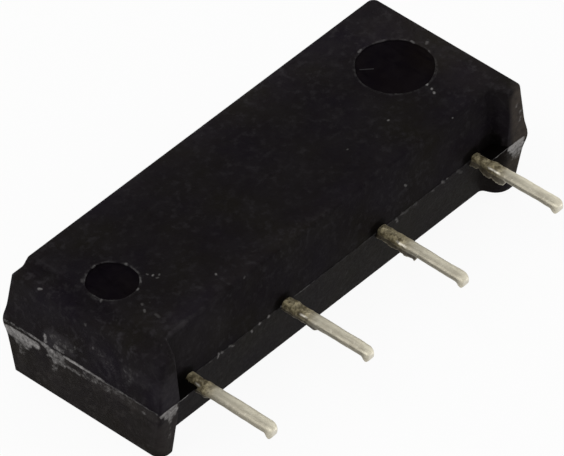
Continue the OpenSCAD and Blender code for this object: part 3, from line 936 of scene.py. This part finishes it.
def moulded_body(material, mark_material):
    """The moulding: rings for its walls and flash, two filled large faces, and the ejector marks."""
    upper, lower = half_rings(UPPER), half_rings(LOWER)
    flash, stand, filmed = flash_rings(lower[0], upper[0])
    rings = lower[::-1] + flash + upper
    n = len(rings[0])
    sides = len(rings) * n
    skin = Skin()
    skin.add(np.concatenate(rings))
    for k in range(len(rings) - 1):
        skin.add_band(k * n, (k + 1) * n, n)

    added, faces = face_fill(rings[0], range(n), sides, [], COARSE_COLUMNS + BOTTOM_COLUMNS)
    skin.faces += [face[::-1] for face in faces]
    skin.add(np.column_stack([added, np.zeros(len(added))]))
    loops, floors = zip(*[add_mark(skin, *mark) for mark in MARKS])
    added, faces = face_fill(rings[-1], range(sides - n, sides), len(skin.points), loops,
                             COARSE_COLUMNS + RAMP_COLUMNS)
    skin.faces += faces
    skin.add(np.column_stack([added, TOP_Z - ledge_depth(added[:, 0])]))

    normals = np.zeros_like(skin.points)
    normals[:sides, :2] = np.concatenate([outward_normals(ring[:, :2]) for ring in rings])
    roughen(skin.points, normals, sides)
    soiling_and_painted_light = soil_and_painted_light(skin.points, normals)
    # the films sit deep in the corners beside the feet: their tops get painted shade and no chalk
    for level in (len(lower) + 2, len(lower) + 3):
        ring = slice(level * n, (level + 1) * n)
        soiling_and_painted_light["stain"][ring] = np.where(filmed, FILM_SHADE, soiling_and_painted_light["stain"][ring])
        soiling_and_painted_light["chalk"][ring] = np.where(filmed, 0, soiling_and_painted_light["chalk"][ring])
    wear = worn_edges(skin, rings, len(lower), stand, filmed)
    body = new_object("moulding", skin.points, skin.faces, material, {"wear": wear, **soiling_and_painted_light}, 50)
    body.data.materials.append(mark_material)
    for first, end in floors:
        for face in body.data.polygons[first:end]:
            face.material_index = 1
    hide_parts("moulded_body")


# Pins
PIN_POINTS = 72
OVAL_POWER = 2.5
STRIP_POWER = 14
SOLDER_T = 0.012
DIP_END_Y = -3.08
BEND_STEPS = 12
# A tip: its length, then places along it with shares of the full size
CAP_L = 0.24
CAP = ((0.0, 0.3), (0.02, 0.44), (0.06, 0.57), (0.12, 0.69), (0.21, 0.79), (0.33, 0.87), (0.48, 0.94),
       (0.68, 0.98), (1.0, 1.0))
# How much further back the right side of a tip ends than the left one, and how far up the pin that reaches
TIP_SLANT = 0.24
SLANT_L = 0.75
# Where the solder thins towards the wall, how far from its end the look of a tip fades, and how softly stain
# and glint begin
NECK_Y = (-4.15, -3.45)
TIP_SOFT = (0.08, 0.45)
STAIN_SOFT = 0.35
GLINT_SOFT = 0.08
# Angles round a pin from +X towards +Z: where solder hangs, the upper left side painted darker,
# the painted glint, the top painted darker near the wall and the lower right edge painted darker at the tip
SAG_ANGLE = math.radians(236)
SHOULDER_ANGLE = math.radians(150)
GLINT_ANGLE = 2.45
TOP_ANGLE = 1.4
EDGE_ANGLE = 5.3
# Direction in X and Z in which the solder hangs
SAG_WAY = (-0.62, -0.78)

# One row a pin: thickness of its solder, how far that hangs to the lower left, how far the tip leans to +X
# and up, how far the web of resin stands out, where it ends and how softly, the drip at the tip, where the
# stain ends, where a glint is painted as a highlight, and the width at the wall as a share of the full width
Pin = namedtuple("Pin", "name coat sag lean web web_end web_soft drip stain_end glint neck")
PINS = (
    Pin("switch_pin_left", 0.022, 0.046, (-0.01, -0.02), 0.12, -4.35, 0.3, 0.14, -4.25, (-3.6, -3.8), 0.84),
    Pin("coil_pin_left", 0.012, 0.022, (0, 0), 0.12, -4.9, 0.28, 0.12, -4.35, (-4.0, -4.3), 0.96),
    Pin("coil_pin_right", 0.01, 0.012, (0, 0), 0.19, -5.05, 0.12, 0.12, -4.45, (-4.05, -4.5), 0.92),
    Pin("switch_pin_right", 0.014, 0.004, (0.05, 0.02), 0.23, -4.8, 0.1, 0.12, -4.5, (-3.95, -4.5), 0.76),
)


def oval(half_w, half_t, power):
    """Points (x, z) round an oval that nears a rectangle as the power grows, and their angles."""
    angle = np.linspace(0, 2 * math.pi, PIN_POINTS, endpoint=False) + 1e-4
    c, s = np.cos(angle), np.sin(angle)
    points = np.column_stack([half_w * np.sign(c) * np.abs(c) ** (2 / power),
                              half_t * np.sign(s) * np.abs(s) ** (2 / power)])
    return points, angle


def lobe(angle, centre, spread):
    """1 at the centre angle, and less the further an angle is from it."""
    return np.exp(-((angle - centre) / spread) ** 2)


def dipped_stations(spec):
    """Stations (y, share of the full size) of the dipped part of a pin, from its tip to inside the wall."""
    web_start = spec.web_end - 0.1
    stations = [(TIP_Y + CAP_L * u, share) for u, share in CAP]
    stations += [(y, 1.0) for y in np.arange(TIP_Y + CAP_L + 0.05, web_start, 0.05)]
    return stations + [(y, 1.0) for y in np.arange(web_start, DIP_END_Y, 0.03)]


def root_stations(coil):
    """Stations (y, half width, drop) of the bare strip inside the body."""
    strip, root, head = PIN_W / 2, ROOT_W / 2, HEAD_W / 2
    stations = [(DIP_END_Y + 0.01, strip, 0), (SHOULDER_Y, strip, 0), (SHOULDER_Y + 0.002, root, 0)]
    if coil:
        neck_y = HEAD_Y - HEAD_L
        return stations + [(neck_y - 0.002, root, 0), (neck_y, head, 0), (HEAD_Y, head, 0)]
    bend_y = COIL_Y - TAB_L / 2 - BEND_L
    shares = [k / BEND_STEPS for k in range(BEND_STEPS + 1)]
    bend = [(bend_y + BEND_L * share, root, -TAB_DROP * share) for share in shares]
    return stations + bend + [(COIL_Y + TAB_L / 2, root, -TAB_DROP)]


def dipped_ring(spec, seed, y, share):
    """A ring of the dipped part of a pin, from the pin's middle line, and its attributes."""
    half_w = PIN_W / 2 + spec.coat
    half_t = PIN_T / 2 + SOLDER_T + spec.coat
    neck = 1 - (1 - spec.neck) * smoothstep(*NECK_Y, y)
    ring, angle = oval(half_w * share * neck, half_t * share, OVAL_POWER)
    spot = np.column_stack([ring[:, 0] + seed * 3.1, np.full(PIN_POINTS, y), ring[:, 1]])
    stain = smoothstep(spec.stain_end - STAIN_SOFT, spec.stain_end + STAIN_SOFT, y)
    swell = 0.012 * noise_at(spot, 1.3, seed) + 0.004 * noise_at(spot, 5.0, seed + 1)
    swell += stain * 0.03 * noise_at(spot, 3.6, seed + 2)
    ring = ring * (1 + swell / half_t)[:, None]

    beyond = y - TIP_Y
    tip = 1 - smoothstep(*TIP_SOFT, beyond)
    hanging = np.clip(np.cos(angle - SAG_ANGLE), 0, 1)
    drip = spec.drip * hanging ** 2 * (smoothstep(0.4, 0.16, beyond) * smoothstep(0.0, 0.12, beyond))
    rough = noise_at([(seed * 7.7, y * 3, 0), (0, y * 9, seed)], 1.0)
    ragged = max(0.8 + 0.3 * rough[0] + 0.22 * rough[1], 0.1)
    web = smoothstep(spec.web_end, spec.web_end + spec.web_soft, y) * ragged
    fin = lobe(angle, SAG_ANGLE, 0.3)
    hem = lobe(angle, SAG_ANGLE, 0.52)
    slant = TIP_SLANT * smoothstep(SLANT_L, 0.0, beyond) * np.clip(ring[:, 0] / half_w, 0, 1) ** 1.5
    push = drip + spec.web * web * fin + spec.sag * (0.4 + 0.6 * hanging)
    bend = (DIP_END_Y - y) / (DIP_END_Y - TIP_Y)
    ring += push[:, None] * np.array(SAG_WAY) + bend * np.array(spec.lean)

    # Painted highlight: a glint near the wall, the pale end of the tip, and a pale rim along the web's edge
    start, stop = [smoothstep(edge + GLINT_SOFT, edge - GLINT_SOFT, y) for edge in spec.glint]
    glint = start * (1 - stop) * lobe(angle, GLINT_ANGLE, 0.2)
    end = 1 - smoothstep(0.58, 0.9, share)
    rim = smoothstep(0.8, 0.98, fin)
    # Painted shade, gathered in the under attribute: the top near the wall darkened as a painted reflection
    # of the dark wall, the lower right edge of the tip, the upper left side and the lower side
    above = 0.5 * smoothstep(-4.8, -4.2, y) * lobe(angle, TOP_ANGLE, 0.6)
    edge = 0.8 * tip * smoothstep(0.4, 0.75, share) * lobe(angle, EDGE_ANGLE, 0.9)
    shoulder_shade = 0.75 * smoothstep(0.15, 0.9, np.cos(angle - SHOULDER_ANGLE))
    below = 0.22 * smoothstep(-0.1, 0.9, np.cos(angle - SAG_ANGLE))
    return np.column_stack([ring[:, 0], y + slant, ring[:, 1]]), {
        "flux": np.full(PIN_POINTS, stain),
        "bright": np.clip(0.45 * end + 0.7 * glint + 0.2 * (web * rim), 0, 1),
        "under": np.maximum(above + edge, shoulder_shade + below) * (1 - 0.6 * tip),
        "web": np.clip(3 * web * hem, 0, 1) * (1 - rim),
    }


def pin(spec, column, seed, material):
    """A tinned pin from its dipped tip to its root in the body, as one loft along Y."""
    rings = [dipped_ring(spec, seed, y, share) for y, share in dipped_stations(spec)]
    bare = {key: np.zeros(PIN_POINTS) for key in rings[0][1]}
    for y, half_w, drop in root_stations(abs(column) < 1):
        ring, _ = oval(half_w, PIN_T / 2, STRIP_POWER)
        rings.append((np.column_stack([ring[:, 0], np.full(PIN_POINTS, y), drop + ring[:, 1]]), bare))
    points = np.concatenate([ring for ring, _ in rings]) + (column * PIN_PITCH, 0, PARTING_Z)
    attributes = {key: np.concatenate([values[key] for _, values in rings]) for key in bare}
    n = PIN_POINTS
    faces = []
    for a in range(0, len(points) - n, n):
        faces += [(a + i, a + n + i, a + n + (i + 1) % n, a + (i + 1) % n) for i in range(n)]
    faces += [tuple(range(n)), tuple(reversed(range(len(points) - n, len(points))))]
    piece = new_object(spec.name + "_tinned", points, faces, material, attributes, 55)
    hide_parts(spec.name)


# What is built
materials = {
    "moulding": moulding_material("moulding", 0.02, False),
    "tinned_pin": tinned_material(),
    "bobbin_plastic": bobbin_material(),
    "copper_wire": copper_material(),
    "solder": solder_material(),
    "capsule_glass": glass_material(),
    "reed_metal": reed_material(),
}

for subpart in frame["record"]["subparts"]:
    node = frame["nodes"][subpart["node"]]
    node.data.materials.clear()
    node.data.materials.append(materials[subpart["material_slot"]])

moulded_body(materials["moulding"], moulding_material("ejector_mark", 0.0, True))
for number, (spec, column) in enumerate(zip(PINS, PIN_COLUMNS)):
    pin(spec, column, number + 1, materials["tinned_pin"])


# Floor, world, lights and camera
def seen_directly(g):
    """1 for camera, glossy and transmission rays, which see the white background."""
    path = g.add("LightPath").outputs
    total = g.math("MAXIMUM", path["Is Camera Ray"], path["Is Glossy Ray"])
    return g.math("MAXIMUM", total, path["Is Transmission Ray"])


WHITE = (1, 1, 1, 1)
FLOOR_HALF = 1.5
FLOOR_Z = -0.00001
FLOOR_TONE = 0.86
FLOOR_GLOW = 0.93
WORLD_LIGHT = 0.45
floor_mesh = bpy.data.meshes.new("floor")
corners = [(x * FLOOR_HALF, y * FLOOR_HALF, FLOOR_Z) for x, y in ((-1, -1), (1, -1), (1, 1), (-1, 1))]
floor_mesh.from_pydata(corners, [], [(0, 1, 2, 3)])
floor = bpy.data.objects.new("floor", floor_mesh)
bpy.context.scene.collection.objects.link(floor)
g = Graph("floor")
matt = g.add("BsdfDiffuse", {"Color": (FLOOR_TONE, FLOOR_TONE, FLOOR_TONE, 1)}).outputs[0]
glow = g.add("Emission", {"Color": WHITE, "Strength": 1.0}).outputs[0]
share = g.times(seen_directly(g), FLOOR_GLOW)
g.add("OutputMaterial", {"Surface": g.add("MixShader", {0: share, 1: matt, 2: glow}).outputs[0]})
floor_mesh.materials.append(g.owner)

g = Graph("studio", bpy.data.worlds)
light = g.between(seen_directly(g), 0.0, 1.0, WORLD_LIGHT, 1.0)
g.add("OutputWorld", {"Surface": g.add("Background", {"Color": WHITE, "Strength": light}).outputs[0]})
bpy.context.scene.world = g.owner


def area_light(name, direction, distance, size, power):
    """A square soft light that looks at the relay from a direction."""
    data = bpy.data.lights.new(name, "AREA")
    data.size = size
    data.energy = power
    lamp = bpy.data.objects.new(name, data)
    bpy.context.scene.collection.objects.link(lamp)
    away = Vector(direction).normalized()
    lamp.location = away * distance
    lamp.rotation_euler = away.to_track_quat("Z", "Y").to_euler()


area_light("key", (-0.5, 0.35, 0.9), 0.6, 0.5, 1.5)
area_light("fill", (0.7, -0.6, 0.6), 0.6, 0.5, 0.7)

# Camera, in radians and millimetres. EYE is its place from AIM: to its own right, up and back.
AZIMUTH = math.radians(-48.246)
ELEVATION = math.radians(42.94)
ROLL = math.radians(-0.039)
AIM = Vector((0, -0.196, 2.4))
EYE = Vector((0.357, 0.121, 347.039))
FOCAL_PIXELS = 9740.487
FRAME_W = 564
SENSOR = 36.0

tilt = Matrix.Rotation(math.pi / 2 - ELEVATION, 3, "X")
turn = Matrix.Rotation(AZIMUTH, 3, "Z") @ tilt @ Matrix.Rotation(ROLL, 3, "Z")
camera_data = bpy.data.cameras.new("camera")
camera_data.sensor_fit = "HORIZONTAL"
camera_data.sensor_width = SENSOR
camera_data.lens = FOCAL_PIXELS / FRAME_W * SENSOR
camera_data.clip_start = 0.02
camera_data.clip_end = 50
camera = bpy.data.objects.new("camera", camera_data)
bpy.context.scene.collection.objects.link(camera)
camera.matrix_world = Matrix.Translation((AIM + turn @ EYE) * MM) @ turn.to_4x4()
bpy.context.scene.camera = camera
bpy.context.scene.view_settings.view_transform = "Standard"
